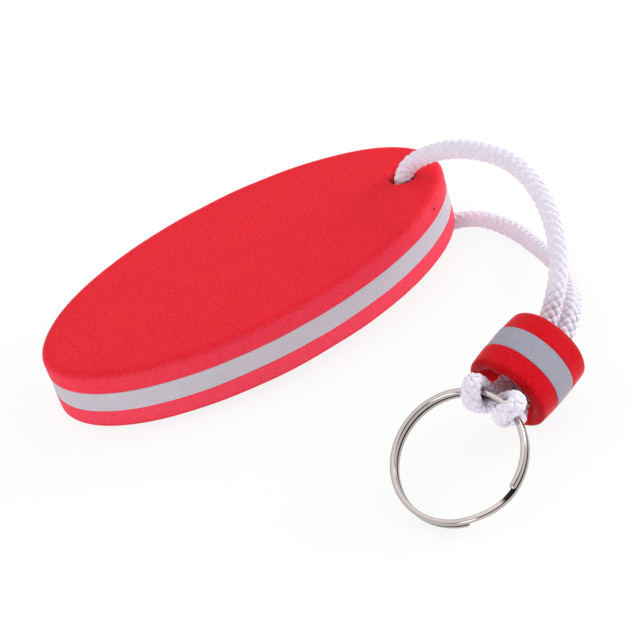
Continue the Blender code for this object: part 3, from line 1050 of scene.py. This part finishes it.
# %% [markdown]
# ## The table
#
# A shop photograph has a white background and a very soft shadow. Turning the lamps up
# until the table burns out would also bleach the object. Instead the table answers
# camera rays, and those that metal reflects, mostly with white of strength one, and
# keeps a part that still takes the shadow. To every other ray it is a plain pale table.
# %% The table
WHITE_SHARE = 0.86
TABLE_REACH = 3.0

table_material = bpy.data.materials.new("pale_table")
table_material.use_nodes = True
tree = table_material.node_tree
tree.nodes.remove(tree.nodes["Principled BSDF"])
pale = add(tree, "ShaderNodeBsdfDiffuse", {"Color": from_hex("#fbfafa")})
white = add(tree, "ShaderNodeEmission", {"Color": (1, 1, 1, 1), "Strength": 1.0})
rays = add(tree, "ShaderNodeLightPath").outputs
seen = rays["Is Camera Ray"]
for other in ("Is Glossy Ray", "Is Transmission Ray"):
    seen = add(tree, MATH, {0: seen, 1: rays[other]}, operation="MAXIMUM")
share = add(tree, MATH, {0: seen, 1: WHITE_SHARE}, operation="MULTIPLY")
mixed = add(tree, "ShaderNodeMixShader", {0: share, 1: pale, 2: white})
tree.links.new(mixed.outputs[0], tree.nodes["Material Output"].inputs["Surface"])
corners = [(-1, -1), (1, -1), (1, 1), (-1, 1)]
table_mesh = bpy.data.meshes.new("table")
table_mesh.from_pydata(
    [(x * TABLE_REACH, y * TABLE_REACH, 0) for x, y in corners], [], [(0, 1, 2, 3)]
)
table_mesh.materials.append(table_material)
table = bpy.data.objects.new("table", table_mesh)
bpy.context.scene.collection.objects.link(table)
print("the table is", 2 * TABLE_REACH, "m wide")


# %% [markdown]
# ## The room
#
# Metal shows what stands around it. In an evenly white room the split ring would look like
# white plastic, so the room has a dark side. It is where the camera stands, because in a
# real studio no lamp stands behind the lens. The foot of the walls is darker too, like a
# skirting, and draws the dark lines along the wire. The camera itself sees none of this,
# because the backdrop is plain white to it.
# %% The room
DARK_SIDE = (-0.33, -0.88, 0.34)
WALL_FADES = {"From Min": 0.4, "From Max": 0.85, "To Min": 1.08, "To Max": 0.02}
SKIRTING_FADES = {"From Min": 0.04, "From Max": 0.3, "To Min": 0.12, "To Max": 1}

world = bpy.data.worlds.new("studio")
bpy.context.scene.world = world
world.use_nodes = True
tree = world.node_tree
room = tree.nodes["Background"]
toward = add(tree, "ShaderNodeTexCoord").outputs["Generated"]
dark_side = add(tree, VECTOR_MATH, {0: toward, 1: DARK_SIDE}, operation="DOT_PRODUCT")
walls = add(
    tree,
    MAP_RANGE,
    {"Value": dark_side.outputs["Value"], **WALL_FADES},
    interpolation_type="SMOOTHSTEP",
)
height = add(tree, "ShaderNodeSeparateXYZ", {"Vector": toward}).outputs["Z"]
skirting = add(
    tree, MAP_RANGE, {"Value": height, **SKIRTING_FADES}, interpolation_type="SMOOTHSTEP"
)
shade = add(tree, MATH, {0: walls, 1: skirting}, operation="MULTIPLY")
tree.links.new(shade.outputs[0], room.inputs["Color"])
room.inputs["Strength"].default_value = 1.0
backdrop = add(tree, "ShaderNodeBackground", {"Color": (1, 1, 1, 1), "Strength": 1.0})
to_camera = add(tree, "ShaderNodeLightPath").outputs["Is Camera Ray"]
mixed = add(tree, "ShaderNodeMixShader", {0: to_camera, 1: room, 2: backdrop})
tree.links.new(mixed.outputs[0], tree.nodes["World Output"].inputs["Surface"])
print("the room has", len(tree.nodes), "nodes")


# %% [markdown]
# ## The lamps
#
# Soft lamps at the left and at the right light the cut sides of the foam, and leave its top
# a deeper red. The right one is a little stronger, as in the photograph. A weak third lamp
# above gives the cord's upper loop its bright edge.
# %% The lamps
def lamp(name, place, size, watts):
    """A square soft lamp that looks at the keychain."""
    data = bpy.data.lights.new(name, "AREA")
    data.size = size
    data.energy = watts
    made = bpy.data.objects.new(name, data)
    way = -Vector(place)
    turn = way.to_track_quat("-Z", "Y").to_matrix().to_4x4()
    made.matrix_world = Matrix.Translation(place) @ turn
    bpy.context.scene.collection.objects.link(made)
    print(name, watts, "W,", round(way.length, 2), "m away")


lamp("left_lamp", (-0.9, -0.9, 0.25), 0.6, 8)
lamp("right_lamp", (1.25, -0.1, 0.4), 0.6, 11)
lamp("top_lamp", (-0.1, 0.2, 1.4), 0.9, 1)
